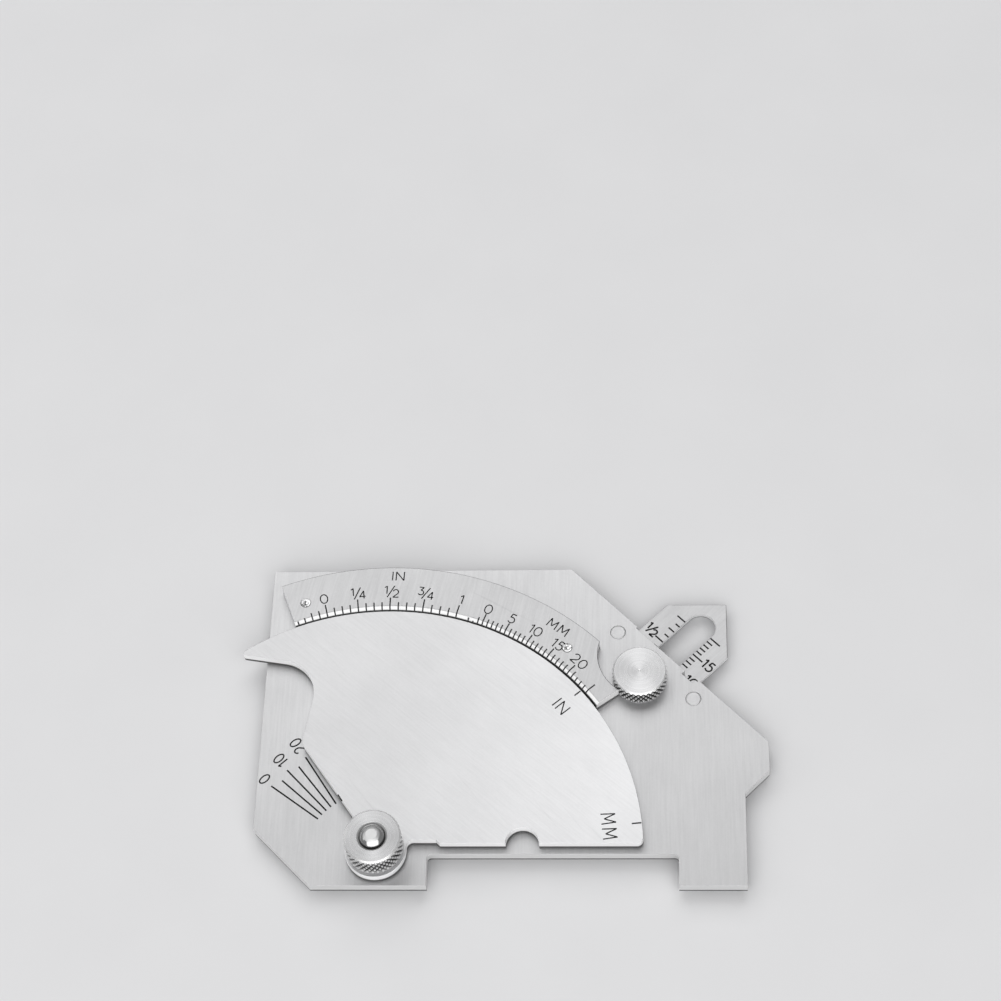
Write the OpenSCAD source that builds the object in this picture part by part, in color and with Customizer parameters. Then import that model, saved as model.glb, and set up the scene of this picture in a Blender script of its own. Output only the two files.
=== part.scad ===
// Bridge cam weld gauge, lying on its back as it does in its case.
// X runs along the feet, Y from the feet to the top edge and Z out of the graduated face.

/* [Body plate] */
// Length from the left edge to the right datum edge
body_l = 99.8; // [92:0.1:115]
// Height from the feet to the top datum edge
body_h = 68.5; // [66:0.1:80]
// Thickness of the plate
body_t = 2.6; // [2.2:0.1:5]
// Distance from the scale plate's outer edge to the 45 degree edge, along the slide
slant_margin = 8.42; // [7:0.02:12]
// Length of the right datum edge
right_edge_l = 6.1; // [3:0.1:9]
// Width of the step between the right datum edge and the right foot
right_step = 4.8; // [2:0.1:8]
// Corner cut off below the left edge
left_chamfer = 11.6; // [6:0.1:14]
// Width of the left foot, measured from the left edge
left_foot_w = 34; // [31:0.1:40]
// Width of the right foot
right_foot_w = 12.9; // [8:0.1:20]
// Height of the bridge between the feet
bridge_h = 6.4; // [4.5:0.1:7]
// Radius in the two corners of the bridge
bridge_r = 0.7; // [0.3:0.1:2]

/* [Pivot] */
// Distance of the pivot from the left edge
pivot_x = 24.25; // [22:0.05:27]
// Height of the pivot above the feet
pivot_y = 6.75; // [6.2:0.05:8]
// Diameter of the plain shank in the body and the cam
shank_d = 6.4; // [5.6:0.1:8]
// Diameter of the threaded end
thread_d = 5; // [4:0.1:5.5]
// Diameter of the head on the back
head_d = 9; // [8:0.1:11]
// Radius of the domed end
dome_r = 3; // [2.6:0.1:8]
// Height of the dome above the nut
dome_rise = 1.2; // [0:0.05:1.5]

/* [Cam plate] */
// Radius of the graduated arc edge
cam_r = 51.2; // [49:0.1:53]
// Thickness of the cam
cam_t = 2.3; // [1.8:0.1:3.5]
// Direction of the pointer tip and of the index edge, seen from the pivot
tip_angle = 125.5; // [118:0.1:132]
// Angle at which the pointer's underside falls
pointer_angle = 9.2; // [4:0.1:14]
// Radius of the pointer's tip
tip_r = 0.5; // [0.2:0.1:0.8]
// Length of the pointer's underside, up to the line of the neck
pointer_l = 17; // [14:0.1:20]
// Radius between the pointer and the neck
throat_r = 7.5; // [4:0.1:9]
// Radius at the upper corner of the index edge
index_r = 3; // [1:0.1:5]
// Radius of the lobe around the pivot
lobe_r = 5.95; // [5:0.05:6.1]
// Height of the lower edge above the pivot
cam_low = 0.9; // [0.5:0.1:3]
// Rise of the lower edge next to the lobe
heel_rise = 0.7; // [0.3:0.1:1.5]
// Radius between the lobe and the lower edge
heel_r = 1.3; // [0.6:0.1:2]
// Distance from the pivot to the end of that rise
heel_l = 11.6; // [9:0.1:15]
// Distance from the pivot to the half-round notch
notch_x = 28.1; // [22:0.1:36]
// Radius of the half-round notch
notch_r = 3.2; // [2:0.1:5]
// Radius of the lower right corner
cam_corner_r = 1.2; // [0.5:0.1:3]

/* [Scale plate] */
// Width of the curved plate
scale_w = 9.7; // [9:0.1:11]
// Direction of its left end, seen from the pivot
scale_left = 111.3; // [108:0.1:113]
// Distance of the middle of its right end from the slide's axis
scale_end_side = 0.6; // [-2:0.1:2]
// Width of the bevel along its inner edge
bevel_w = 0.85; // [0.4:0.05:1.5]
// Depth of that bevel
bevel_d = 0.6; // [0.3:0.05:1.2]
// Radius of the relief beside the thumbscrew
relief_r = 9.6; // [8.6:0.1:10.5]
// Distance of the relief's centre from the thumbscrew, along the slide
relief_along = 4.1; // [2:0.1:6]
// Distance of the relief's centre from the slide's axis
relief_side = 2.3; // [1:0.1:3]
// Diameter of the two rivets
scale_rivet_d = 1.9; // [1.5:0.1:2.6]
// Diameter of their heads on the back
scale_rivet_head_d = 3.2; // [2.8:0.1:3.6]
// Direction of the left rivet
rivet_left_angle = 107.7; // [104:0.1:108.2]
// Distance of the right rivet's axis from the end of the strap, across the slide
rivet_clear = 1.36; // [1.3:0.02:4]

/* [Throat slide] */
// Width of the slide
slide_w = 17; // [15:0.1:17.4]
// Thickness of the slide
slide_t = 1; // [0.8:0.1:1.6]
// Slot left behind the thumbscrew when the tip is at the corner of the datum edges
slide_spare = 4.6; // [4.5:0.1:8]
// Throat that the slide shows
reading = 10.7; // [6:0.1:14]
// Longest throat that it can show
reading_max = 20; // [18:0.1:22]
// Width of the slot
slot_w = 6; // [5.4:0.1:7]
// Plain length between the tip and the slot
slot_setback = 4.4; // [3.5:0.1:6]
// Plain length behind the slot
slot_tail = 4; // [3:0.1:6]
// Depth of the reading edge cut into the 45 degree edge
reading_edge = 0.4; // [0.2:0.05:0.8]
// Width of the notch in the 45 degree edge that shows the next figure
window_w = 3; // [2:0.1:4]
// Depth of that notch
window_d = 1.3; // [0.8:0.1:2]
// Distance of that notch from the middle of the slide
window_at = 6.5; // [5.5:0.1:6.8]

/* [Slide strap] */
// Thickness of the strap, which the rivet and stud heads share
strap_t = 1.5; // [1.2:0.1:2.5]
// Plain width of the strap beyond its rivets
strap_edge = 1; // [0.6:0.1:1.4]
// Width of the strap along the slide
strap_w = 11.4; // [11:0.1:11.8]
// Distance of the strap's outer side from the 45 degree edge
strap_setback = 0.6; // [0.2:0.1:1]
// Distance of the strap's rivets from the 45 degree edge
rivet_setback = 3.6; // [3:0.1:5]
// Distance between the strap's two rivets
rivet_pitch = 21; // [21:0.1:22.5]
// Diameter of the strap's rivets
strap_rivet_d = 3; // [2.5:0.1:3.2]

/* [Thumb nut and thumbscrew] */
// Diameter of the thumb nut
nut_d = 11.1; // [10:0.1:11.4]
// Height of the thumb nut
nut_h = 5.3; // [4.5:0.1:8]
// Thickness of the washer under the nut
washer_t = 0.3; // [0.2:0.1:1.5]
// Diameter of the washer
washer_d = 10.2; // [9:0.1:11.4]
// Diameter of the thumbscrew's head
screw_head_d = 10.8; // [9:0.1:11.4]
// Height of the thumbscrew's head
screw_head_h = 3.8; // [3:0.1:6]
// Diameter of the thumbscrew's thread
screw_d = 4.8; // [4:0.1:5]
// Distance of the thumbscrew from the 45 degree edge
screw_setback = 8; // [7:0.1:9]
// Edge broken at the top and bottom of both heads
head_chamfer = 0.4; // [0.2:0.05:0.8]
// Diameter of the lathe's centre mark in the thumbscrew
mark_d = 0.5; // [0.4:0.1:2]
// Crossed grooves each way around both heads
knurl_count = 34; // [24:1:40]
// Depth of the grooves
knurl_d = 0.32; // [0.2:0.02:0.4]
// Lean of the grooves
knurl_lean = 30; // [20:1:40]

/* [Clearances] */
// Running gap between flat faces that slide or turn
face_gap = 0.05; // [0.03:0.01:0.15]
// Running gap beside the slide and around the cam's shank
side_gap = 0.1; // [0.05:0.01:0.2]
// Gap between the cam's arc and the scale plate
arc_gap = 0.4; // [0.2:0.05:0.6]
// Gap around riveted shanks and threads
fit_gap = 0.05; // [0.03:0.01:0.1]

/* [Hidden] */
$fn = 180;
eps = 0.01;
lap = 0.3;
slide_tilt = 45;
pivot = [pivot_x, pivot_y];
corner = [body_l, body_h];
right_foot_x = body_l - right_step;
scale_in = cam_r + arc_gap;
scale_out = scale_in + scale_w;
rivet_r = scale_in + scale_w * 0.45;
// The pivot's place along the slide and across it, from the corner of the two datum edges
pivot_along = (pivot - corner) * ray(slide_tilt);
pivot_side = (pivot - corner) * ray(slide_tilt + 90);
// Distance from that corner to the 45 degree edge, and the edge's two ends
slant_drop = -pivot_along - scale_out - slant_margin;
slant_low = body_h - slant_drop * sqrt(2);
slant_x = body_l - slant_drop * sqrt(2);
screw_at = -slant_drop - screw_setback;
rivet_at = -slant_drop - rivet_setback;
strap_l = rivet_pitch + strap_rivet_d + 2 * strap_edge;
// Directions of the scale plate's right end and rivet, which keep clear of the slide
scale_right = slide_tilt + asin((scale_end_side - pivot_side) / (scale_in + scale_w / 2));
rivet_right_angle = slide_tilt + asin((strap_l / 2 + rivet_clear - pivot_side) / rivet_r);
slide_l = slant_drop + screw_setback + slot_tail + slide_spare;
slide_back = reading + slide_l;
slide_retract = reading_max - reading + 1;
channel_w = slide_w + 2 * side_gap;
channel_d = slide_t + 2 * face_gap;
channel_l = slide_back + slide_retract + side_gap - slant_drop;
// Levels above the surface that the gauge lies on
z_back = strap_t;
z_face = z_back + body_t;
z_cam = z_face + face_gap;
z_top = z_cam + cam_t;
z_washer = z_top + face_gap;
z_nut = z_washer + washer_t;
z_nut_top = z_nut + nut_h;
// Corner where the pointer's underside meets the arc, before its tip is rounded
tip = cam_r * ray(tip_angle);
under_a = -pointer_angle;
tip_lift = tip + tip_r * ray(under_a + 90);
tip_run = tip_lift * ray(under_a);
tip_out = tip_lift * tip_lift - pow(cam_r - tip_r, 2);
tip_c = tip_lift - (tip_run + sqrt(tip_run * tip_run - tip_out)) * ray(under_a);
// Middle of the whole gauge, from the pointer tip to the right datum edge
centre = [(pivot_x + tip_c[0] - tip_r + body_l) / 2, body_h / 2];

function ray(a) = [cos(a), sin(a)];
function unit(p) = p / norm(p);
// Where two lines cross, each given by a point and a direction
function cross_point(p, a, q, b) =
  p + ray(a) * ((q[0] - p[0]) * sin(b) - (q[1] - p[1]) * cos(b)) / sin(b - a);

// Where the rounding of a corner ends on the edge that leaves it at angle a, and where its centre is
function round_end(at, a, b, r) = at + r / tan(abs(a - b) / 2) * ray(a);
function round_centre(at, a, b, r) = at + r / sin(abs(a - b) / 2) * ray((a + b) / 2);
// Outline points for an inner corner, which a circle at the middle one then cuts round
function inner_corner(at, a, b, r) =
  [round_end(at, a, b, r), round_centre(at, a, b, r), round_end(at, b, a, r)];

// Cuts an outer corner back to its rounding, for edges that leave it at angles a and b
module corner_cut(at, a, b, r) {
  end_a = round_end(at, a, b, r);
  end_b = round_end(at, b, a, r);
  difference() {
    polygon([end_a, end_a - lap * ray(b), at - lap * (ray(a) + ray(b)), end_b - lap * ray(a), end_b]);
    translate(round_centre(at, a, b, r))
      circle(r);
  }
}

// Puts what is drawn along X onto the slide's axis, from the corner of the datum edges
module on_slide_axis() {
  translate(corner)
    rotate(slide_tilt)
      children();
}

// Moves the gauge so that the middle of its back is the origin
module placed() {
  translate([-centre[0], -centre[1], 0])
    children();
}

module body_outline() {
  bridge_left = inner_corner([left_foot_w, bridge_h], 270, 360, bridge_r);
  bridge_right = inner_corner([right_foot_x - right_foot_w, bridge_h], 180, 270, bridge_r);
  difference() {
    polygon([
      [left_chamfer, 0],
      [left_foot_w, 0],
      each bridge_left,
      each bridge_right,
      [right_foot_x - right_foot_w, 0],
      [right_foot_x, 0],
      [right_foot_x, slant_low - right_edge_l - right_step],
      [body_l, slant_low - right_edge_l],
      [body_l, slant_low],
      [slant_x, body_h],
      [0, body_h],
      [0, left_chamfer],
    ]);
    translate(bridge_left[1])
      circle(bridge_r);
    translate(bridge_right[1])
      circle(bridge_r);
    on_slide_axis()
      translate([-slant_drop - reading_edge, -channel_w / 2])
        square([reading_edge + 1, channel_w]);
    on_slide_axis()
      translate([-slant_drop - window_d, -window_at - window_w / 2])
        square([window_d + 1, window_w]);
  }
}

module body_plate() {
  color("silver")
    placed()
      difference() {
        translate([0, 0, z_back])
          linear_extrude(body_t)
            body_outline();
        // Milled channel for the slide, open at the 45 degree edge
        on_slide_axis()
          translate([-slant_drop - channel_l, -channel_w / 2, z_back - 1])
            cube([channel_l + 1, channel_w, channel_d + 1]);
        on_slide_axis()
          translate([screw_at, 0, z_back])
            cylinder(h = body_t + 1, d = screw_d + 2 * side_gap);
        on_slide_axis()
          for (side = [-1, 1])
            translate([rivet_at, side * rivet_pitch / 2, z_back - 1])
              cylinder(h = body_t + 2, d = strap_rivet_d + 2 * fit_gap);
        translate([pivot_x, pivot_y, z_back - 1])
          cylinder(h = body_t + 2, d = shank_d + 2 * fit_gap);
        scale_rivet_holes();
      }
}

module scale_rivet_holes() {
  for (a = [rivet_left_angle, rivet_right_angle])
    translate(pivot + rivet_r * ray(a))
      translate([0, 0, z_back - 1])
        cylinder(h = z_top, d = scale_rivet_d + 2 * fit_gap);
}

module arc_scale_plate() {
  thick = z_top - z_face;
  color("lightgray")
    placed()
      difference() {
        translate([pivot_x, pivot_y, z_face])
          rotate(scale_right)
            rotate_extrude(angle = scale_left - scale_right)
              polygon([
                [scale_in, 0],
                [scale_out, 0],
                [scale_out, thick],
                [scale_in + bevel_w, thick],
                [scale_in, thick - bevel_d],
              ]);
        on_slide_axis()
          translate([screw_at + relief_along, relief_side, z_face - 1])
            cylinder(h = thick + 2, r = relief_r);
        scale_rivet_holes();
      }
}

module scale_rivet(a) {
  color("gray")
    placed()
      translate(pivot + rivet_r * ray(a))
        difference() {
          union() {
            cylinder(h = strap_t, d = scale_rivet_head_d);
            cylinder(h = z_top, d = scale_rivet_d);
          }
          // Dimple left by the setting punch
          translate([0, 0, z_top + scale_rivet_d * 0.5])
            sphere(d = scale_rivet_d * 1.25);
        }
}

module scale_rivet_left() {
  scale_rivet(rivet_left_angle);
}

module scale_rivet_right() {
  scale_rivet(rivet_right_angle);
}

module pivot_stud() {
  color("gainsboro")
    placed()
      translate(pivot) {
        cylinder(h = z_back, d = head_d);
        cylinder(h = z_top - 2 * face_gap, d = shank_d);
        intersection() {
          cylinder(h = z_nut_top + 1, d = thread_d);
          translate([0, 0, z_nut_top + dome_rise - dome_r])
            union() {
              sphere(dome_r);
              translate([0, 0, -z_nut_top - dome_r])
                cylinder(h = z_nut_top + dome_r, r = dome_r);
            }
        }
      }
}

// Cuts the pointer's sharp corner back to its rounding
module tip_cut() {
  difference() {
    polygon([
      tip_c - tip_r * ray(under_a + 90),
      tip + 3 * ray(under_a + 180) - ray(under_a + 90),
      tip + 3 * ray(tip_angle),
      cam_r * unit(tip_c),
      tip_c,
    ]);
    translate(tip_c)
      circle(tip_r);
  }
}

// Cuts the corner between the arc and the lower edge back to its rounding
module low_corner_cut() {
  y = cam_low + cam_corner_r;
  at = [sqrt(pow(cam_r - cam_corner_r, 2) - y * y), y];
  end = cam_r * unit(at);
  difference() {
    polygon([at, [at[0], cam_low], [at[0], 0], [cam_r + 1, 0], [cam_r + 1, end[1]], end]);
    translate(at)
      circle(cam_corner_r);
  }
}

// Drawn with the pivot at the origin
module cam_outline() {
  neck_top = tip + pointer_l * ray(under_a);
  neck_low = cross_point(neck_top, under_a + 270, [0, 0], tip_angle);
  throat = inner_corner(neck_top, under_a + 180, under_a + 270, throat_r);
  heel_y = cam_low + heel_rise;
  heel = [sqrt(pow(lobe_r + heel_r, 2) - pow(heel_y - heel_r, 2)), heel_y - heel_r];
  difference() {
    union() {
      intersection() {
        circle(cam_r);
        polygon([
          [0, 0],
          heel,
          [heel[0], heel_y],
          [heel_l, heel_y],
          [heel_l + heel_rise, cam_low],
          [cam_r + 5, cam_low],
          [cam_r + 5, cam_r + 5],
          tip + 20 * ray(90),
          tip + 8 * ray(under_a + 180),
          each throat,
          neck_low,
        ]);
      }
      circle(lobe_r);
    }
    translate(throat[1])
      circle(throat_r);
    translate(heel)
      circle(heel_r);
    tip_cut();
    low_corner_cut();
    corner_cut(neck_low, under_a + 90, tip_angle - 180, index_r);
    translate([notch_x, cam_low])
      circle(notch_r);
    circle(d = shank_d + 2 * side_gap);
  }
}

module cam_plate() {
  color("white")
    placed()
      translate([pivot_x, pivot_y, z_cam])
        linear_extrude(cam_t)
          cam_outline();
}

module pivot_washer() {
  color("gray")
    placed()
      translate([pivot_x, pivot_y, z_washer])
        difference() {
          cylinder(h = washer_t, d = washer_d);
          translate([0, 0, -1])
            cylinder(h = washer_t + 2, d = thread_d + 2 * side_gap);
        }
}

// Rim of a turned head that stands on the origin, with both edges broken
function head_rim(d, h) = [
  [d / 2 - head_chamfer, 0],
  [d / 2, head_chamfer],
  [d / 2, h - head_chamfer],
  [d / 2 - head_chamfer, h],
];

// A turned piece of that profile, with a diamond knurl round its head
module knurled(profile, d, h) {
  groove_l = h / cos(knurl_lean);
  difference() {
    rotate_extrude()
      polygon(profile);
    for (lean = [-knurl_lean, knurl_lean])
      for (i = [0 : knurl_count - 1])
        rotate(360 * i / knurl_count)
          translate([d / 2, 0, h / 2])
            rotate([lean, 0, 0])
              translate([0, 0, -groove_l / 2])
                linear_extrude(groove_l)
                  polygon([[-knurl_d, 0], [knurl_d, -2 * knurl_d], [knurl_d, 2 * knurl_d]]);
  }
}

module cam_thumb_nut() {
  bore = thread_d / 2 + fit_gap;
  mouth = [[bore + head_chamfer, nut_h], [bore, nut_h - head_chamfer], [bore, 0]];
  color("lightsteelblue")
    placed()
      translate([pivot_x, pivot_y, z_nut])
        knurled(concat(head_rim(nut_d, nut_h), mouth), nut_d, nut_h);
}

module throat_slide() {
  half = slide_w / 2;
  slot_out = slot_setback + slot_w / 2;
  slot_in = slide_l - slot_tail - slot_w / 2;
  color("darkgray")
    placed()
      on_slide_axis()
        translate([-reading, 0, z_back + face_gap])
          linear_extrude(slide_t)
            difference() {
              polygon([
                [0, 0],
                [-half, half],
                [-slide_l, half],
                [-slide_l, -half],
                [-half, -half],
              ]);
              translate([-slot_out, 0])
                circle(d = slot_w);
              translate([-slot_in, 0])
                circle(d = slot_w);
              translate([-slot_in, -slot_w / 2])
                square([slot_in - slot_out, slot_w]);
            }
}

module slide_strap() {
  color("dimgray")
    placed()
      on_slide_axis()
        difference() {
          translate([-slant_drop - strap_setback - strap_w, -strap_l / 2, 0])
            cube([strap_w, strap_l, strap_t]);
          translate([screw_at, 0, -1])
            cylinder(h = strap_t + 2, d = screw_d + 2 * fit_gap);
          for (side = [-1, 1])
            translate([rivet_at, side * rivet_pitch / 2, -1])
              cylinder(h = strap_t + 2, d = strap_rivet_d + 2 * fit_gap);
        }
}

module strap_rivet(side) {
  color("gray")
    placed()
      on_slide_axis()
        translate([rivet_at, side * rivet_pitch / 2, 0])
          cylinder(h = z_face, d = strap_rivet_d);
}

module strap_rivet_upper() {
  strap_rivet(1);
}

module strap_rivet_lower() {
  strap_rivet(-1);
}

module slide_thumbscrew() {
  shank = [[0, face_gap - z_cam], [screw_d / 2, face_gap - z_cam], [screw_d / 2, 0]];
  // Centre mark left by the lathe
  mark_z = screw_head_h - mark_d / 3;
  mark = [[mark_d / 2, screw_head_h], [mark_d / 8, mark_z], [0, mark_z]];
  turned = concat(shank, head_rim(screw_head_d, screw_head_h), mark);
  color("lightsteelblue")
    placed()
      on_slide_axis()
        translate([screw_at, 0, z_cam])
          knurled(turned, screw_head_d, screw_head_h);
}

body_plate();
arc_scale_plate();
scale_rivet_left();
scale_rivet_right();
pivot_stud();
cam_plate();
pivot_washer();
cam_thumb_nut();
throat_slide();
slide_strap();
strap_rivet_upper();
strap_rivet_lower();
slide_thumbscrew();
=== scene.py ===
import bpy
import math
from mathutils import Euler, Matrix, Vector


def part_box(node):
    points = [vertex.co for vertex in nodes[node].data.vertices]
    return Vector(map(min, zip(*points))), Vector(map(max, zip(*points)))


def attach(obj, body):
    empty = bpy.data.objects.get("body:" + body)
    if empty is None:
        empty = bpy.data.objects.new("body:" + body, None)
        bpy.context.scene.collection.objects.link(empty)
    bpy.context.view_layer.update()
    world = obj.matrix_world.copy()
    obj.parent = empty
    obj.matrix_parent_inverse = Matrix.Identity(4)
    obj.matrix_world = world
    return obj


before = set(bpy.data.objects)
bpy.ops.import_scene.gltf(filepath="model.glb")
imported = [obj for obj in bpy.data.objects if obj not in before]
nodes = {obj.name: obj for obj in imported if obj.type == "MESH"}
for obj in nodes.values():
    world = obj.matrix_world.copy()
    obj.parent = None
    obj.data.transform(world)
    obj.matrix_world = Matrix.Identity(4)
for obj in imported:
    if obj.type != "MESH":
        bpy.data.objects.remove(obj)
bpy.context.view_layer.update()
mm = 0.001
inch = 25.4  # in mm
mergeWithin = 0.001 * mm
print("frame loaded with", len(nodes), "nodes")


# Places that the marks and finishes are set out from, taken from the solids
def middleOf(name):
    low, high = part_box(name)
    return (low[0] + high[0]) / 2, (low[1] + high[1]) / 2


pivotX, pivotY = middleOf("pivot_stud")
bodyLow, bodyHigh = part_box("body_plate")
faceZ = bodyHigh[2]
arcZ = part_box("arc_scale_plate")[1][2]
camLow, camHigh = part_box("cam_plate")
camZ = camHigh[2]
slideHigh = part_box("throat_slide")[1]
slideZ = slideHigh[2]


def deselectAll():
    if bpy.context.object and bpy.context.object.mode != "OBJECT":
        bpy.ops.object.mode_set(mode="OBJECT")
    bpy.ops.object.select_all(action="DESELECT")


def makeActive(piece):
    deselectAll()
    piece.select_set(True)
    bpy.context.view_layer.objects.active = piece


# Steel finishes, all on Object coordinates
def newMaterial(name):
    material = bpy.data.materials.new(name)
    material.use_nodes = True
    tree = material.node_tree
    tree.nodes.clear()
    output = tree.nodes.new("ShaderNodeOutputMaterial")
    shader = tree.nodes.new("ShaderNodeBsdfPrincipled")
    tree.links.new(shader.outputs["BSDF"], output.inputs["Surface"])
    return material, tree, shader


def noiseOn(tree, vector, scale, detail, roughness=0.5):
    noise = tree.nodes.new("ShaderNodeTexNoise")
    noise.inputs["Scale"].default_value = scale
    noise.inputs["Detail"].default_value = detail
    noise.inputs["Roughness"].default_value = roughness
    tree.links.new(vector, noise.inputs["Vector"])
    return noise.outputs["Fac"]


def turnedCoords(tree, turn, scale):
    coords = tree.nodes.new("ShaderNodeTexCoord")
    mapping = tree.nodes.new("ShaderNodeMapping")
    mapping.vector_type = "TEXTURE"
    mapping.inputs["Rotation"].default_value = (0, 0, math.radians(turn))
    mapping.inputs["Scale"].default_value = [1 / value for value in scale]
    tree.links.new(coords.outputs["Object"], mapping.inputs["Vector"])
    return mapping.outputs["Vector"]


def spread(tree, value, low, high, outLow, outHigh):
    node = tree.nodes.new("ShaderNodeMapRange")
    node.inputs["From Min"].default_value = low
    node.inputs["From Max"].default_value = high
    node.inputs["To Min"].default_value = outLow
    node.inputs["To Max"].default_value = outHigh
    tree.links.new(value, node.inputs["Value"])
    return node.outputs["Result"]


def combine(tree, a, b, how="ADD"):
    node = tree.nodes.new("ShaderNodeMath")
    node.operation = how
    tree.links.new(a, node.inputs[0])
    tree.links.new(b, node.inputs[1])
    return node.outputs[0]


coolDark, coolLight = 1.01, 1.008  # a trace of blue in the greys


def greyRamp(tree, value, dark, light):
    ramp = tree.nodes.new("ShaderNodeValToRGB")
    ramp.color_ramp.elements[0].position = 0.0
    ramp.color_ramp.elements[1].position = 1.0
    ramp.color_ramp.elements[0].color = (dark, dark, dark * coolDark, 1)
    ramp.color_ramp.elements[1].color = (light, light, light * coolLight, 1)
    tree.links.new(value, ramp.inputs["Fac"])
    return ramp.outputs["Color"]


def scaled(tree, colour, gain):
    node = tree.nodes.new("ShaderNodeVectorMath")
    node.operation = "SCALE"
    tree.links.new(colour, node.inputs[0])
    tree.links.new(gain, node.inputs["Scale"])
    return node.outputs["Vector"]


def darkened(tree, colour, mask, deep):
    return scaled(tree, colour, spread(tree, mask, 0.0, 1.0, 1.0, deep))


def aroundPoint(tree, centre):
    coords = tree.nodes.new("ShaderNodeTexCoord")
    mapping = tree.nodes.new("ShaderNodeMapping")
    mapping.inputs["Location"].default_value = (-centre[0], -centre[1], 0)
    tree.links.new(coords.outputs["Object"], mapping.inputs["Vector"])
    flat = tree.nodes.new("ShaderNodeVectorMath")
    flat.operation = "MULTIPLY"
    flat.inputs[1].default_value = (1, 1, 0)
    tree.links.new(mapping.outputs["Vector"], flat.inputs[0])
    radius = tree.nodes.new("ShaderNodeVectorMath")
    radius.operation = "LENGTH"
    tree.links.new(flat.outputs["Vector"], radius.inputs[0])
    parts = tree.nodes.new("ShaderNodeSeparateXYZ")
    tree.links.new(coords.outputs["Object"], parts.inputs["Vector"])
    return flat.outputs["Vector"], radius.outputs["Value"], parts.outputs["Z"]


slopeSet = {"wall": (0.82, 0.95), "chamferLow": (0.25, 0.36), "chamferHigh": (0.94, 0.98),
            "away": (0.5, 0.85, 0), "awayBand": (0.05, 0.25)}  # bands of the normal's own parts


def wallMask(tree):
    normal = tree.nodes.new("ShaderNodeNewGeometry").outputs["True Normal"]
    parts = tree.nodes.new("ShaderNodeSeparateXYZ")
    tree.links.new(normal, parts.inputs["Vector"])
    upright = tree.nodes.new("ShaderNodeMath")
    upright.operation = "ABSOLUTE"
    tree.links.new(parts.outputs["Z"], upright.inputs[0])
    return spread(tree, upright.outputs[0], *slopeSet["wall"], 1.0, 0.0)


# Painted shade: chamfers facing away, towards the back right, come out darker
def farChamfer(tree):
    normal = tree.nodes.new("ShaderNodeNewGeometry").outputs["True Normal"]
    facing = tree.nodes.new("ShaderNodeVectorMath")
    facing.operation = "DOT_PRODUCT"
    facing.inputs[1].default_value = slopeSet["away"]
    tree.links.new(normal, facing.inputs[0])
    parts = tree.nodes.new("ShaderNodeSeparateXYZ")
    tree.links.new(normal, parts.inputs["Vector"])
    slope = combine(tree, spread(tree, parts.outputs["Z"], *slopeSet["chamferLow"], 0.0, 1.0),
                    spread(tree, parts.outputs["Z"], *slopeSet["chamferHigh"], 1.0, 0.0), "MULTIPLY")
    away = spread(tree, facing.outputs["Value"], *slopeSet["awayBand"], 0.0, 1.0)
    return combine(tree, slope, away, "MULTIPLY")


def brightened(tree, colour, mask, tone):
    node = tree.nodes.new("ShaderNodeMix")
    node.data_type = "RGBA"  # factor and both colours go by number on this node
    node.inputs[7].default_value = (tone, tone, tone, 1)
    tree.links.new(mask, node.inputs[0])
    tree.links.new(colour, node.inputs[6])
    return node.outputs[2]


finishSet = {"bumpDistance": 0.02, "contactShadowTone": 0.04, "contactShadowFade": 0.3, "lineFade": 0.06, "rimFade": 0.20,
             "rimTop": (0.42, 0.36), "rimFoot": (0.2, 0.3), "ringFade": 0.12, "discFade": 0.1,
             "paintedLightFrom": -30, "paintedLightTo": 42}  # lengths in mm, the painted shadow's tone as a share


def finishSurface(tree, shader, mixed, look, mask=None, contactShadow=None, gain=None, disc=None):
    wall = wallMask(tree)  # ground edges and chamfers: a less metallic finish, painted brighter than the faces as a painted highlight
    colour = greyRamp(tree, mixed, look["dark"], look["light"])
    # painted light: a gain that brightens the colour towards the lower right
    if gain is not None:
        colour = scaled(tree, colour, gain)
    colour = brightened(tree, colour, wall, look["edge"])
    # painted highlight: the stud's flat end painted brighter than the ring round it
    if disc is not None:
        colour = brightened(tree, colour, disc, look["discTone"])
    if contactShadow is not None:  # painted contact shadow: a dark line at the foot of each wall, where it meets the piece below
        height, start = contactShadow
        fade = spread(tree, height, start, start + finishSet["contactShadowFade"] * mm, 1.0, 0.0)
        low = combine(tree, wall, fade, "MULTIPLY")
        colour = darkened(tree, colour, low, finishSet["contactShadowTone"])
        # painted shade on the chamfers that face away
        colour = darkened(tree, colour, farChamfer(tree), look["farEdgeShade"])
    # painted shade from the mask: the gap by the cam, knurl grooves and the rims of ends
    if mask is not None:
        colour = darkened(tree, colour, mask, look["grime"])
    tree.links.new(colour, shader.inputs["Base Color"])
    tree.links.new(spread(tree, wall, 0.0, 1.0, 1.0, look["edgeMetal"]), shader.inputs["Metallic"])
    rough = spread(tree, mixed, 0.0, 1.0, look["roughHigh"], look["roughLow"])
    if disc is not None:  # duller end than the ring round it
        rough = combine(tree, rough, spread(tree, disc, 0.0, 1.0, 0.0, look["discRough"]))
    tree.links.new(rough, shader.inputs["Roughness"])
    bump = tree.nodes.new("ShaderNodeBump")
    bump.inputs["Strength"].default_value = look["bump"]
    bump.inputs["Distance"].default_value = finishSet["bumpDistance"] * mm
    tree.links.new(mixed, bump.inputs["Height"])
    tree.links.new(bump.outputs["Normal"], shader.inputs["Normal"])


noiseBand = (0.3, 0.7)
sheetMix = {"streak": 0.5, "cloud": 0.3, "speck": 0.2, "scratchLong": 0.35, "scratchThin": 0.5,
            "scratchDepth": 30.0, "scratchFade": 0.05}


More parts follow.
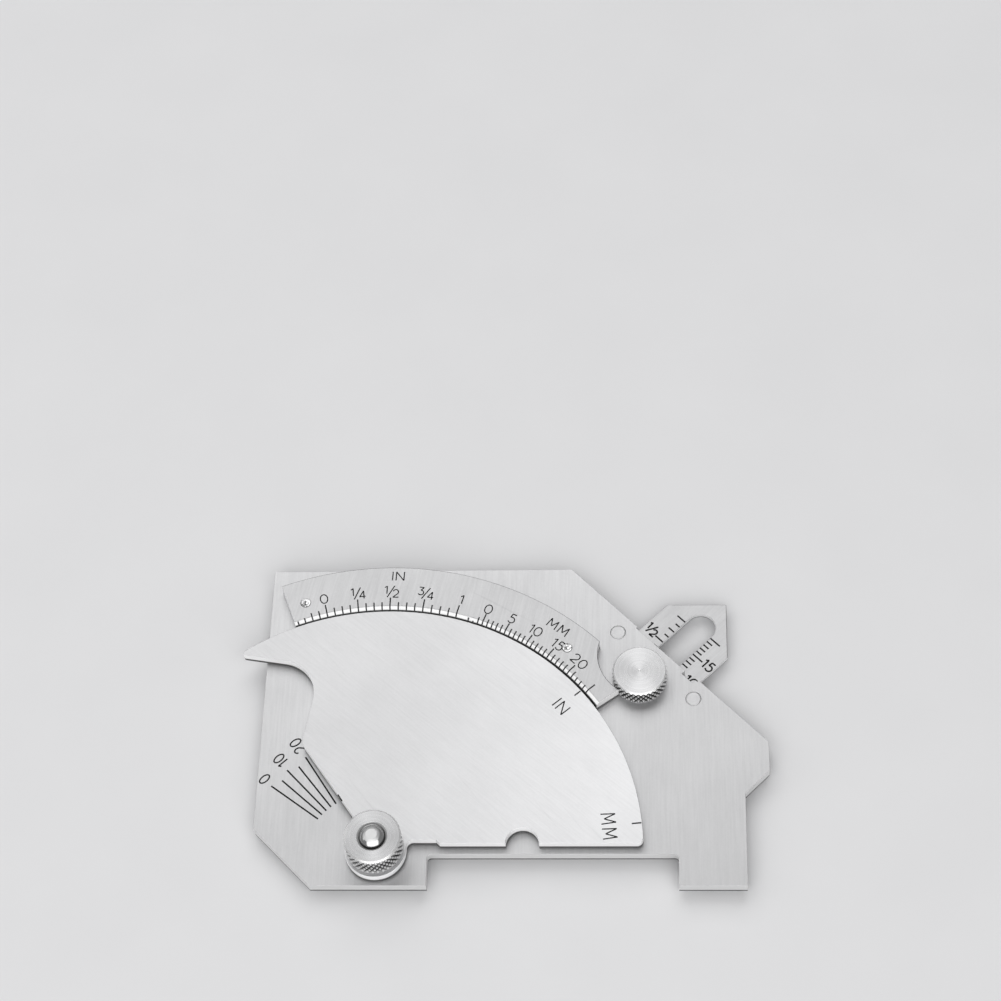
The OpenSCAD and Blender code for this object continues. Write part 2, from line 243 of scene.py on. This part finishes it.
def brushedSteel(name, look, low):
    material, tree, shader = newMaterial(name)
    coords = tree.nodes.new("ShaderNodeTexCoord").outputs["Object"]
    grain = (look["along"], look["across"], look["across"])
    streak = noiseOn(tree, turnedCoords(tree, look["turn"], grain), 1.0, 3.0, 0.6)
    cloud = noiseOn(tree, coords, look["cloud"], 3.0)
    speck = noiseOn(tree, coords, look["speck"], 2.0)
    mixed = combine(tree, spread(tree, streak, *noiseBand, 0.0, sheetMix["streak"]),
                    spread(tree, cloud, *noiseBand, 0.0, sheetMix["cloud"]))
    mixed = combine(tree, mixed, spread(tree, speck, *noiseBand, 0.0, sheetMix["speck"]))
    scratchGrain = (look["along"] * sheetMix["scratchLong"], look["across"] * sheetMix["scratchThin"],
                    sheetMix["scratchDepth"])
    scratch = noiseOn(tree, turnedCoords(tree, look["scratchTurn"], scratchGrain), 1.0, 1.0)
    start = look["scratchFrom"]
    cut = spread(tree, scratch, start, start + sheetMix["scratchFade"], 0.0, look["scratchDeep"])
    mixed = combine(tree, mixed, cut, "SUBTRACT")
    gain = None
    if "paintedLightRise" in look:  # painted light: the colour is made brighter towards the lower right, standing in for light that grows that way
        slant = tree.nodes.new("ShaderNodeVectorMath")
        slant.operation = "DOT_PRODUCT"
        slant.inputs[1].default_value = (1, -1, 0)
        tree.links.new(coords, slant.inputs[0])
        start, end = finishSet["paintedLightFrom"] * mm, finishSet["paintedLightTo"] * mm
        gain = spread(tree, slant.outputs["Value"], start, end, 1.0, look["paintedLightRise"])
    _, radius, height = aroundPoint(tree, (pivotX, pivotY))
    mask = None
    if "gapShadeTo" in look:  # painted shade: a dark line where the scale faces the cam, in the gap between them
        fade = finishSet["lineFade"]
        mask = spread(tree, radius, (look["gapShadeTo"] - fade) * mm, (look["gapShadeTo"] + fade) * mm, 1.0, 0.0)
    finishSurface(tree, shader, mixed, look, mask, (height, low + look["contactShadowRise"] * mm), gain)
    return material


def turnedSteel(name, look, centre, low, high):
    material, tree, shader = newMaterial(name)
    coords = tree.nodes.new("ShaderNodeTexCoord").outputs["Object"]
    flat, radius, height = aroundPoint(tree, centre)
    ringAt = tree.nodes.new("ShaderNodeCombineXYZ")
    tree.links.new(radius, ringAt.inputs["X"])
    rings = noiseOn(tree, ringAt.outputs["Vector"], look["rings"], 3.0, 0.6)  # lathe rings
    cloud = noiseOn(tree, coords, look["cloud"], 2.0)
    share, edge, middle = look["cloudShare"], look["cloudEdge"], look["cloudMiddle"]
    blotch = spread(tree, cloud, middle - edge, middle + edge, 0.0, share)
    mixed = combine(tree, spread(tree, rings, *noiseBand, 0.0, 1 - share), blotch)
    mask = None
    if "rim" in look:  # painted shade in the knurl grooves, clear of the chamfers
        groove = spread(tree, radius, (look["rim"] - finishSet["rimFade"]) * mm, look["rim"] * mm, 1.0, 0.0)
        below = spread(tree, height, *[high - drop * mm for drop in finishSet["rimTop"]], 1.0, 0.0)
        above = spread(tree, height, *[low + rise * mm for rise in finishSet["rimFoot"]], 0.0, 1.0)
        mask = combine(tree, combine(tree, groove, below, "MULTIPLY"), above, "MULTIPLY")
    if "ringFrom" in look:  # painted shade round the rim of the end, in the gap to the part around it
        start, end = look["ringFrom"], look["ringFrom"] + finishSet["ringFade"]
        mask = spread(tree, radius, start * mm, end * mm, 0.0, 1.0)
    disc = None
    if "discTo" in look:  # ground end of the stud: a duller finish, and painted brighter as a painted highlight
        fade = finishSet["discFade"]
        disc = spread(tree, radius, (look["discTo"] - fade) * mm, (look["discTo"] + fade) * mm, 1.0, 0.0)
    finishSurface(tree, shader, mixed, look, mask, disc=disc)
    shader.inputs["Anisotropic"].default_value = look["aniso"]
    around = tree.nodes.new("ShaderNodeVectorMath")
    around.operation = "CROSS_PRODUCT"
    around.inputs[0].default_value = (0, 0, 1)
    tree.links.new(flat, around.inputs[1])
    unit = tree.nodes.new("ShaderNodeVectorMath")
    unit.operation = "NORMALIZE"
    tree.links.new(around.outputs["Vector"], unit.inputs[0])
    tree.links.new(unit.outputs["Vector"], shader.inputs["Tangent"])
    return material


def inkFill(name, look):
    material, tree, shader = newMaterial(name)
    coords = tree.nodes.new("ShaderNodeTexCoord").outputs["Object"]
    worn = noiseOn(tree, coords, look["worn"], 3.0)
    tone = greyRamp(tree, spread(tree, worn, *look["wornBand"], 0.0, 1.0), look["dark"], look["light"])
    tree.links.new(tone, shader.inputs["Base Color"])
    shader.inputs["Roughness"].default_value = look["rough"]
    shader.inputs["Specular IOR Level"].default_value = look["specular"]
    return material


# In the looks below, the edge tone paints walls and chamfers brighter as a painted highlight, and the
# darkening entries for wall feet, far chamfers, grooves and gaps are painted shade
sheetGrain = {"along": 130, "across": 3000, "speck": 2600, "scratchFrom": 0.74, "scratchDeep": 0.25}
bodyLook = {**sheetGrain, "dark": 0.52, "light": 0.585, "roughLow": 0.41, "roughHigh": 0.49, "turn": 90,
            "cloud": 70, "scratchTurn": 25, "bump": 0.08, "edge": 0.72, "edgeMetal": 0.25,
            "contactShadowRise": 0.3, "farEdgeShade": 0.35}
arcLook = {**sheetGrain, "dark": 0.46, "light": 0.54, "roughLow": 0.40, "roughHigh": 0.48, "turn": 78,
           "cloud": 70, "scratchTurn": -30, "bump": 0.07, "edge": 0.95, "edgeMetal": 0.1,
           "contactShadowRise": 0.35, "farEdgeShade": 0.12, "gapShadeTo": 51.80, "grime": 0.02}
camLook = {"dark": 0.52, "light": 0.58, "roughLow": 0.37, "roughHigh": 0.44, "turn": -40, "along": 120,
           "across": 2800, "cloud": 60, "speck": 2400, "scratchTurn": -52, "scratchFrom": 0.72,
           "scratchDeep": 0.3, "bump": 0.07, "edge": 0.95, "edgeMetal": 0.05, "contactShadowRise": 0.6,
           "farEdgeShade": 0.3, "paintedLightRise": 1.27}
slideLook = {**sheetGrain, "dark": 0.48, "light": 0.56, "roughLow": 0.41, "roughHigh": 0.50, "turn": 45,
             "cloud": 80, "scratchTurn": 10, "bump": 0.08, "edge": 0.80, "edgeMetal": 0.4,
             "contactShadowRise": 0.1, "farEdgeShade": 0.15}
strapLook = {"dark": 0.42, "light": 0.55, "roughLow": 0.38, "roughHigh": 0.50, "turn": -45, "along": 160,
             "across": 3200, "cloud": 80, "speck": 2600, "scratchTurn": 20, "scratchFrom": 0.7,
             "scratchDeep": 0.4, "bump": 0.12, "edge": 0.70, "edgeMetal": 0.5, "contactShadowRise": 0.1,
             "farEdgeShade": 1.0}
latheGrain = {"cloudShare": 0.4, "cloudEdge": 0.2, "cloudMiddle": 0.5}
nutLook = {**latheGrain, "dark": 0.37, "light": 0.50, "roughLow": 0.22, "roughHigh": 0.32, "rings": 5200,
           "cloud": 160, "aniso": 0.8, "bump": 0.05, "rim": 5.55, "grime": 0.015, "edge": 0.80,
           "edgeMetal": 0.6}
screwLook = {**latheGrain, "dark": 0.40, "light": 0.52, "roughLow": 0.22, "roughHigh": 0.32, "rings": 4600,
             "cloud": 180, "aniso": 0.8, "bump": 0.05, "rim": 5.4, "grime": 0.015, "edge": 0.80,
             "edgeMetal": 0.6}
studLook = {**latheGrain, "dark": 0.24, "light": 0.36, "roughLow": 0.14, "roughHigh": 0.20, "rings": 4200,
            "cloud": 200, "aniso": 0.3, "bump": 0.05, "ringFrom": 2.24, "grime": 0.10, "edge": 0.6,
            "edgeMetal": 1.0, "discTo": 1.6, "discTone": 0.68, "discRough": 0.30}
washerLook = {**latheGrain, "dark": 0.30, "light": 0.42, "roughLow": 0.30, "roughHigh": 0.42, "rings": 4200,
              "cloud": 200, "aniso": 0.4, "bump": 0.06, "edge": 0.5, "edgeMetal": 0.8}
smallRivetLook = {"dark": 0.03, "light": 0.98, "roughLow": 0.30, "roughHigh": 0.40, "rings": 3800,
                  "cloud": 1300, "cloudShare": 0.95, "cloudEdge": 0.06, "cloudMiddle": 0.43, "aniso": 0.2,
                  "bump": 0.3, "ringFrom": 0.86, "grime": 0.25, "edge": 0.95, "edgeMetal": 0.2}
strapRivetLook = {"dark": 0.50, "light": 0.60, "roughLow": 0.40, "roughHigh": 0.48, "rings": 3400,
                  "cloud": 400, "cloudShare": 0.5, "cloudEdge": 0.2, "cloudMiddle": 0.5, "aniso": 0.2,
                  "bump": 0.05, "ringFrom": 1.43, "grime": 0.2, "edge": 0.95, "edgeMetal": 0.1}

brushedSet = {"body_plate": bodyLook, "arc_scale_plate": arcLook, "cam_plate": camLook,
              "throat_slide": slideLook, "slide_strap": strapLook}
turnedSet = {"cam_thumb_nut": nutLook, "slide_thumbscrew": screwLook, "pivot_stud": studLook,
             "pivot_washer": washerLook, "scale_rivet_left": smallRivetLook,
             "scale_rivet_right": smallRivetLook, "strap_rivet_upper": strapRivetLook,
             "strap_rivet_lower": strapRivetLook}
for name, node in nodes.items():
    node.data.materials.clear()
    low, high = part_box(name)
    if name in brushedSet:
        finish = brushedSteel(name + "Brushed", brushedSet[name], low[2])
    else:
        wallLow = camLow[2] if name == "slide_thumbscrew" else low[2]  # its head starts level with the cam
        finish = turnedSteel(name + "Turned", turnedSet[name], middleOf(name), wallLow, high[2])
    node.data.materials.append(finish)
inkGrain = {"worn": 900, "wornBand": (0.35, 0.7), "specular": 0.25}
inkBlack = inkFill("engravedBlack", {**inkGrain, "dark": 0.004, "light": 0.012, "rough": 0.6})
inkGrey = inkFill("engravedGrey", {**inkGrain, "dark": 0.012, "light": 0.035, "rough": 0.55})
print("steel finishes set on the solids")


# Broken edges catch the light on the sheet pieces and rivets
edgeSet = {"body_plate": 0.12, "arc_scale_plate": 0.10, "cam_plate": 0.12, "throat_slide": 0.10,
           "slide_strap": 0.10, "scale_rivet_left": 0.10, "scale_rivet_right": 0.10,
           "strap_rivet_upper": 0.22, "strap_rivet_lower": 0.22}
edgeShape = {"flatWithin": 0.4, "sharpFrom": 28, "segments": 2}  # angles in degrees
for name, width in edgeSet.items():
    node = nodes[name]
    weld = node.modifiers.new("mergedTriangles", "WELD")
    weld.merge_threshold = mergeWithin
    flat = node.modifiers.new("flatFaces", "DECIMATE")
    flat.decimate_type = "DISSOLVE"
    flat.angle_limit = math.radians(edgeShape["flatWithin"])
    edge = node.modifiers.new("brokenEdge", "BEVEL")
    edge.width = width * mm
    edge.segments = edgeShape["segments"]
    edge.limit_method = "ANGLE"
    edge.angle_limit = math.radians(edgeShape["sharpFrom"])
    edge.use_clamp_overlap = True
print("edges broken")


# Graduations: a mark of each length is modelled once, then copied along its scale
inlaySet = {"markDepth": 0.03, "markProud": 0.012, "figureSink": 0.004, "innerEnd": 0.01, "figureFlat": 0.16,
            "sharpCorner": 40}


def modelMark(length, width, slopeRun=0.0, slopeDrop=0.0):
    deselectAll()
    bpy.ops.mesh.primitive_plane_add(size=1)
    mark = bpy.context.object
    bpy.ops.object.mode_set(mode="EDIT")
    bpy.ops.mesh.select_mode(type="VERT")
    bpy.ops.mesh.select_all(action="SELECT")
    bpy.ops.transform.resize(value=(length, width, 1))
    bpy.ops.transform.translate(value=(length / 2, 0, 0))
    if slopeRun > 0:  # the inner end follows the bevelled edge down
        bpy.ops.mesh.bisect(plane_co=(slopeRun, 0, 0), plane_no=(1, 0, 0))
        bpy.ops.mesh.select_all(action="DESELECT")
        bpy.ops.object.mode_set(mode="OBJECT")
        for vertex in mark.data.vertices:
            vertex.select = vertex.co.x < inlaySet["innerEnd"] * mm
        bpy.ops.object.mode_set(mode="EDIT")
        bpy.ops.transform.translate(value=(0, 0, -slopeDrop))
    bpy.ops.mesh.select_all(action="SELECT")
    bpy.ops.mesh.extrude_region_move(TRANSFORM_OT_translate={"value": (0, 0, -inlaySet["markDepth"] * mm)})
    bpy.ops.mesh.select_all(action="SELECT")
    bpy.ops.mesh.normals_make_consistent(inside=False)
    bpy.ops.object.mode_set(mode="OBJECT")
    return mark


stock = {}  # modelled marks and figures, kept to copy from


def copyOf(key, model, place, turn):
    if key not in stock:
        first = model()
        stock[key] = first.data
        bpy.data.objects.remove(first)
    piece = bpy.data.objects.new("scalePiece", stock[key].copy())
    bpy.context.scene.collection.objects.link(piece)
    piece.matrix_world = Matrix.Translation(Vector(place)) @ Matrix.Rotation(math.radians(turn), 4, "Z")
    return piece


def placeMark(length, width, place, turn, slopeRun=0.0, slopeDrop=0.0):
    size = [round(value * mm, 7) for value in (length, width, slopeRun, slopeDrop)]
    spot = (place[0], place[1], place[2] + inlaySet["markProud"] * mm)
    return copyOf(("mark", *size), lambda: modelMark(*size), spot, turn)


def joinPieces(pieces, name, body, material):
    deselectAll()
    for piece in pieces:
        piece.select_set(True)
    bpy.context.view_layer.objects.active = pieces[0]
    bpy.ops.object.transform_apply(location=True, rotation=True, scale=True)
    bpy.ops.object.join()
    joined = bpy.context.object
    joined.name = name
    joined.data.name = name
    joined.data.materials.clear()
    joined.data.materials.append(material)
    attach(joined, body)


def polarPlace(radius, angle, z, centre=None):
    x, y = centre or (pivotX, pivotY)
    turn = math.radians(angle)
    return (x + radius * mm * math.cos(turn), y + radius * mm * math.sin(turn), z)


# Figures: single-stroke engraver's letters drawn as round-ended lines
def bow(cx, cy, rx, ry, start, end, steps=14):
    points = []
    for i in range(steps + 1):
        a = math.radians(start + (end - start) * i / steps)
        points.append((cx + rx * math.cos(a), cy + ry * math.sin(a)))
    return points


strokes = {  # each figure is one unit high, with its width first
    "0": (0.74, [bow(0.37, 0.5, 0.37, 0.5, 90, 450, 28)]),
    "1": (0.30, [[(0.02, 0.80), (0.22, 0.92), (0.28, 1.0), (0.28, 0.0)]]),
    "2": (0.66, [bow(0.32, 0.69, 0.31, 0.31, 165, -25, 14) + [(0.50, 0.42), (0.0, 0.0), (0.66, 0.0)]]),
    "3": (0.62, [[(0.04, 1.0), (0.58, 1.0), (0.27, 0.61)] + bow(0.29, 0.305, 0.32, 0.305, 85, -150, 16)]),
    "4": (0.68, [[(0.50, 0.0), (0.50, 1.0), (0.0, 0.28), (0.68, 0.28)]]),
    "5": (0.62, [[(0.57, 1.0), (0.15, 1.0), (0.09, 0.57)] + bow(0.29, 0.32, 0.33, 0.32, 128, -145, 18)]),
    "6": (0.66, [[(0.52, 1.0), (0.12, 0.52)] + bow(0.33, 0.31, 0.32, 0.31, 160, -200, 22)]),
    "I": (0.0, [[(0.0, 0.0), (0.0, 1.0)]]),
    "N": (0.80, [[(0.0, 0.0), (0.0, 1.0), (0.80, 0.0), (0.80, 1.0)]]),
    "M": (0.96, [[(0.0, 0.0), (0.08, 1.0), (0.48, 0.22), (0.88, 1.0), (0.96, 0.0)]]),
}


def splitCorners(line):
    runs, run = [], [line[0]]
    for before, here, after in zip(line, line[1:], line[2:]):
        run.append(here)
        into = Vector((here[0] - before[0], here[1] - before[1]))
        out = Vector((after[0] - here[0], after[1] - here[1]))
        if into.angle(out) > math.radians(inlaySet["sharpCorner"]):  # a sharp corner would pinch the line
            runs.append(run)
            run = [here]
    return runs + [run + [line[-1]]]


def drawStrokes(lines, lineWidth):
    curve = bpy.data.curves.new("figureStrokes", "CURVE")
    curve.dimensions = "3D"
    curve.bevel_depth = lineWidth / 2
    curve.fill_mode = "FULL"
    curve.bevel_resolution = 1
    curve.use_fill_caps = True
    for line in lines:
        for run in splitCorners(line):
            spline = curve.splines.new("POLY")
            spline.points.add(len(run) - 1)
            for point, (x, y) in zip(spline.points, run):
                point.co = (x, y, 0, 1)
    figure = bpy.data.objects.new("figureStrokes", curve)
    bpy.context.scene.collection.objects.link(figure)
    makeActive(figure)
    bpy.ops.object.convert(target="MESH")
    figure = bpy.context.object
    bpy.ops.object.mode_set(mode="EDIT")
    bpy.ops.mesh.select_all(action="SELECT")
    bpy.ops.mesh.remove_doubles(threshold=mergeWithin)
    bpy.ops.transform.resize(value=(1, 1, inlaySet["figureFlat"]))  # an inlay, nearly flat
    bpy.ops.mesh.normals_make_consistent(inside=False)
    bpy.ops.object.mode_set(mode="OBJECT")
    return figure


def wordLines(word, height, gap, squeeze):
    lines, x = [], 0.0
    for letter in word:
        width, figure = strokes[letter]
        for line in figure:
            lines.append([((x + px * squeeze) * height, py * height) for px, py in line])
        x += width * squeeze + gap
    width = (x - gap) * height
    return [[(px - width / 2, py - height / 2) for px, py in line] for line in lines]


fractionSet = {"size": 0.70, "top": (-0.40, 0.16), "low": (0.42, -0.18),
               "bar": ((-0.27, -0.52), (0.30, 0.52))}  # shares of the fraction's height


def fractionLines(top, low, height):
    lines = []
    size = fractionSet["size"] * height
    for letter, (cx, cy) in ((top, fractionSet["top"]), (low, fractionSet["low"])):
        width, figure = strokes[letter]
        for line in figure:
            lines.append([((px - width / 2) * size + cx * height, (py - 0.5) * size + cy * height)
                          for px, py in line])
    lines.append([(px * height, py * height) for px, py in fractionSet["bar"]])
    return lines


def placeFigure(label, height, gap, lineWidth, place, turn, squeeze=1.0):
    if "/" in label:
        lines = fractionLines(label[0], label[2], height * mm)
    else:
        lines = wordLines(label, height * mm, gap, squeeze)
    key = (label, height, gap, lineWidth, squeeze)
    spot = (place[0], place[1], place[2] - inlaySet["figureSink"] * mm)
    return copyOf(key, lambda: drawStrokes(lines, lineWidth * mm), spot, turn)


def between(stops, place):
    i = min(int(math.floor(place)), len(stops) - 2)
    return stops[i] + (stops[i + 1] - stops[i]) * (place - i)


# Arc scale: sixteenths of an inch on the left, millimetres on the right
arcSet = {
    "markFrom": 51.78, "slopeTo": 52.45, "slopeRate": 0.6 / 0.85, "lineWidth": 0.28,
    "figureLine": 0.27, "figureHeight": 2.0, "figureGap": 0.28, "fractionHeight": 2.5, "wordGap": 0.36,
    "inchAt": [103.85, 96.85, 89.8, 82.42, 74.76], "inchLong": 54.35, "inchShort": 53.3,
    "inchBefore": [(105.55, 53.3), (107.23, 53.3), (108.92, 52.6), (110.5, 52.3)],
    "mmAt": [68.56, 63.05, 57.4, 51.7, 45.7, 39.5], "mmLong": 54.1, "mmShort": 53.2,
    "mmBefore": [(69.66, 53.0), (70.75, 52.5), (71.88, 52.2)], "mmHidden": (22, 23, 24),
    "mmHiddenTo": 52.6,
    "inchFigures": 55.75, "mmFigures": 55.3, "words": [("IN", 59.3, 88.45), ("MM", 58.42, 54.03)],
}
arcMarks, arcFigures = [], []


def arcMark(outer, angle):
    inner = arcSet["markFrom"]
    run = arcSet["slopeTo"] - inner
    spot = polarPlace(inner, angle, arcZ)
    drop = run * arcSet["slopeRate"]
    arcMarks.append(placeMark(outer - inner, arcSet["lineWidth"], spot, angle, run, drop))


def arcFigure(label, height, gap, radius, angle):
    spot = polarPlace(radius, angle, arcZ)
    arcFigures.append(placeFigure(label, height, gap, arcSet["figureLine"], spot, angle - 90))


for sixteenth in range(17):
    outer = arcSet["inchLong"] if sixteenth % 4 == 0 else arcSet["inchShort"]
    arcMark(outer, between(arcSet["inchAt"], sixteenth / 4))
for step in range(26):
    outer = arcSet["mmLong"] if step % 5 == 0 else arcSet["mmShort"]
    if step in arcSet["mmHidden"]:
        outer = arcSet["mmHiddenTo"]
    arcMark(outer, between(arcSet["mmAt"], step / 5))
for angle, outer in arcSet["inchBefore"] + arcSet["mmBefore"]:
    arcMark(outer, angle)
for label, angle in zip(("0", "1/4", "1/2", "3/4", "1"), arcSet["inchAt"]):
    height = arcSet["fractionHeight"] if "/" in label else arcSet["figureHeight"]
    arcFigure(label, height, arcSet["figureGap"], arcSet["inchFigures"], angle)
for label, angle in zip(("0", "5", "10", "15", "20"), arcSet["mmAt"]):
    arcFigure(label, arcSet["figureHeight"], arcSet["figureGap"], arcSet["mmFigures"], angle)
for word, radius, angle in arcSet["words"]:
    arcFigure(word, arcSet["figureHeight"], arcSet["wordGap"], radius, angle)
print("arc scale engraved:", len(arcMarks), "marks,", len(arcFigures), "figures")
joinPieces(arcMarks, "arcScaleMarks", "frame", inkGrey)
joinPieces(arcFigures, "arcScaleFigures", "frame", inkBlack)


# Bevel angle scale on the body, which the cam's index edge sweeps
bevelSet = {"centre": (-24.52, -28.16), "zero": 144.2, "step": 5.1, "from": 13.0, "long": 24.95,
            "short": 24.05, "lineWidth": 0.32, "figureAt": 28.0, "figureTurn": 3, "figureHeight": 2.3,
            "figureLine": 0.33, "figureGap": 0.25, "squeeze": 0.72,
            "seen": [(1.38, 22.18, 133), (4.26, 26.17, 133), (7.42, 29.26, 124)]}
bevelCentre = (bevelSet["centre"][0] * mm, bevelSet["centre"][1] * mm)
bevelMarks, bevelFigures = [], []
for i in range(13):
    angle = bevelSet["zero"] - bevelSet["step"] * i
    outer = bevelSet["short"] if i % 2 else bevelSet["long"]
    spot = polarPlace(bevelSet["from"], angle, faceZ, bevelCentre)
    bevelMarks.append(placeMark(outer - bevelSet["from"], bevelSet["lineWidth"], spot, angle))
    if i % 2 == 0:
        spot = polarPlace(bevelSet["figureAt"], angle, faceZ, bevelCentre)
        turn = angle + bevelSet["figureTurn"]
        if i // 2 < len(bevelSet["seen"]):  # these three stand free of the cam
            x, y, turn = bevelSet["seen"][i // 2]
            spot = (bodyLow[0] + x * mm, bodyLow[1] + y * mm, faceZ)
        height, gap, line = bevelSet["figureHeight"], bevelSet["figureGap"], bevelSet["figureLine"]
        bevelFigures.append(placeFigure(str(i * 5), height, gap, line, spot, turn, bevelSet["squeeze"]))
joinPieces(bevelMarks, "bevelScaleMarks", "frame", inkBlack)
joinPieces(bevelFigures, "bevelScaleFigures", "frame", inkBlack)
print("bevel angle scale engraved")


# Index lines and unit letters on the cam
camSet = {"lineWidth": 0.28, "letterLine": 0.28, "letterGap": 0.36,
          "lines": [(49.5, 51.05, 40.36), (49.2, 51.05, 5.7)], "bevelIndex": (1.65, 11.9, 125.7, 123.4),
          "words": [("IN", 46.03, 40.2, 2.45, 0.92), ("MM", 44.85, 5.63, 2.8, 0.77)]}
camMarks = []
for inner, outer, angle in camSet["lines"]:
    camMarks.append(placeMark(outer - inner, camSet["lineWidth"], polarPlace(inner, angle, camZ), angle))
length, radius, angle, turn = camSet["bevelIndex"]
camMarks.append(placeMark(length, camSet["lineWidth"], polarPlace(radius, angle, camZ), turn))
for word, radius, angle, height, squeeze in camSet["words"]:
    spot = polarPlace(radius, angle, camZ)
    gap, line = camSet["letterGap"], camSet["letterLine"]
    camMarks.append(placeFigure(word, height, gap, line, spot, angle - 90, squeeze))
joinPieces(camMarks, "camIndexMarks", "cam", inkBlack)
print("cam index marks engraved")


# Throat scale on the slide
throatSet = {"readingEdge": 27.72, "lineWidth": 0.32, "figureLine": 0.38, "figureGap": 0.25,
             "figureHeight": 2.05, "fractionHeight": 2.3, "mmFrom": 3.02, "mmShort": 1.42, "mmLong": 2.6,
             "mmFigures": (0.25, -6.95), "inchFrom": 3.1, "inchLengths": (2.15, 1.1, 1.55, 1.1),
             "inchFigures": (0.6, 6.85)}
tipBack = math.hypot(bodyHigh[0] - slideHigh[0], bodyHigh[1] - slideHigh[1]) / mm  # reading at rest
outward = Vector((1, 1, 0)).normalized()
leftward = Vector((-1, 1, 0)).normalized()
throatMarks, throatFigures = [], []


def slidePlace(reading, across):
    along = reading - tipBack - throatSet["readingEdge"]
    spot = Vector((bodyHigh[0], bodyHigh[1], slideZ)) + outward * along * mm + leftward * across * mm
    return tuple(spot)


for reading in range(21):
    length = throatSet["mmLong"] if reading % 5 == 0 else throatSet["mmShort"]
    spot = slidePlace(reading, -throatSet["mmFrom"])
    throatMarks.append(placeMark(length, throatSet["lineWidth"], spot, -45))
for sixteenth in range(13):
    length = throatSet["inchLengths"][sixteenth % 4]
    spot = slidePlace(sixteenth * inch / 16, throatSet["inchFrom"])
    throatMarks.append(placeMark(length, throatSet["lineWidth"], spot, 135))
gap, line = throatSet["figureGap"], throatSet["figureLine"]
shift, across = throatSet["mmFigures"]
for reading in (0, 5, 10, 15):
    spot = slidePlace(reading + shift, across)
    throatFigures.append(placeFigure(str(reading), throatSet["figureHeight"], gap, line, spot, -45))
shift, across = throatSet["inchFigures"]
for label, inches in (("1/4", 0.25), ("1/2", 0.5)):
    spot = slidePlace(inches * inch + shift, across)
    throatFigures.append(placeFigure(label, throatSet["fractionHeight"], gap, line, spot, -45))
joinPieces(throatMarks, "throatScaleMarks", "slide", inkBlack)
joinPieces(throatFigures, "throatScaleFigures", "slide", inkBlack)
for mesh in stock.values():
    bpy.data.meshes.remove(mesh)
print("throat scale engraved, reading", round(tipBack, 2))


# Floor, light and camera
floorSet = {"size": 4, "grain": 40.0, "dark": 0.71, "light": 0.75, "rough": 0.75}


def paleFloor():
    deselectAll()
    bpy.ops.mesh.primitive_plane_add(size=floorSet["size"], location=(0, 0, 0))
    floor = bpy.context.object
    floor.name = "paleFloor"
    material, tree, shader = newMaterial("palePaint")
    coords = tree.nodes.new("ShaderNodeTexCoord").outputs["Object"]
    grain = noiseOn(tree, coords, floorSet["grain"], 4.0)
    tone = greyRamp(tree, grain, floorSet["dark"], floorSet["light"])
    tree.links.new(tone, shader.inputs["Base Color"])
    shader.inputs["Roughness"].default_value = floorSet["rough"]
    floor.data.materials.append(material)


def softLight(name, place, aim, size, power):
    deselectAll()
    bpy.ops.object.light_add(type="AREA", location=place)
    lamp = bpy.context.object
    lamp.name = name
    lamp.data.shape = "RECTANGLE"
    lamp.data.size = size[0]
    lamp.data.size_y = size[1]
    lamp.data.energy = power
    lamp.rotation_euler = (Vector(aim) - Vector(place)).to_track_quat("-Z", "Y").to_euler()


paleFloor()
lightSet = {"back": ((-0.1, 0.85, 1.1), (1.6, 1.0), 8.0),  # place, size and power
            "left": ((-1.0, 0.1, 0.8), (0.8, 0.8), 2.0),
            "front": ((0.1, -0.9, 0.9), (2.2, 1.3), 15.0)}
for name, (place, size, power) in lightSet.items():
    softLight(name + "Soft", place, (0, 0, 0), size, power)
roomSet = {"colour": (0.92, 0.92, 0.93, 1), "strength": 0.28}
world = bpy.data.worlds.new("paleRoom")
world.use_nodes = True
world.node_tree.nodes["Background"].inputs["Color"].default_value = roomSet["colour"]
world.node_tree.nodes["Background"].inputs["Strength"].default_value = roomSet["strength"]
bpy.context.scene.world = world
bpy.context.scene.view_settings.view_transform = "Standard"

viewSet = {"place": (0.033944, -0.204949, 0.430939), "turn": (30.966, 3.8291, 1.554), "sensor": 36,
           "nearest": 0.01, "focal": 2400 / 1001}  # focal length in widths of the frame
bpy.ops.object.camera_add(location=viewSet["place"])
camera = bpy.context.object
camera.rotation_euler = Euler([math.radians(a) for a in viewSet["turn"]])
camera.data.sensor_width = viewSet["sensor"]
camera.data.lens = viewSet["focal"] * viewSet["sensor"]
camera.data.clip_start = viewSet["nearest"]
bpy.context.scene.camera = camera
print("floor, light and camera set")
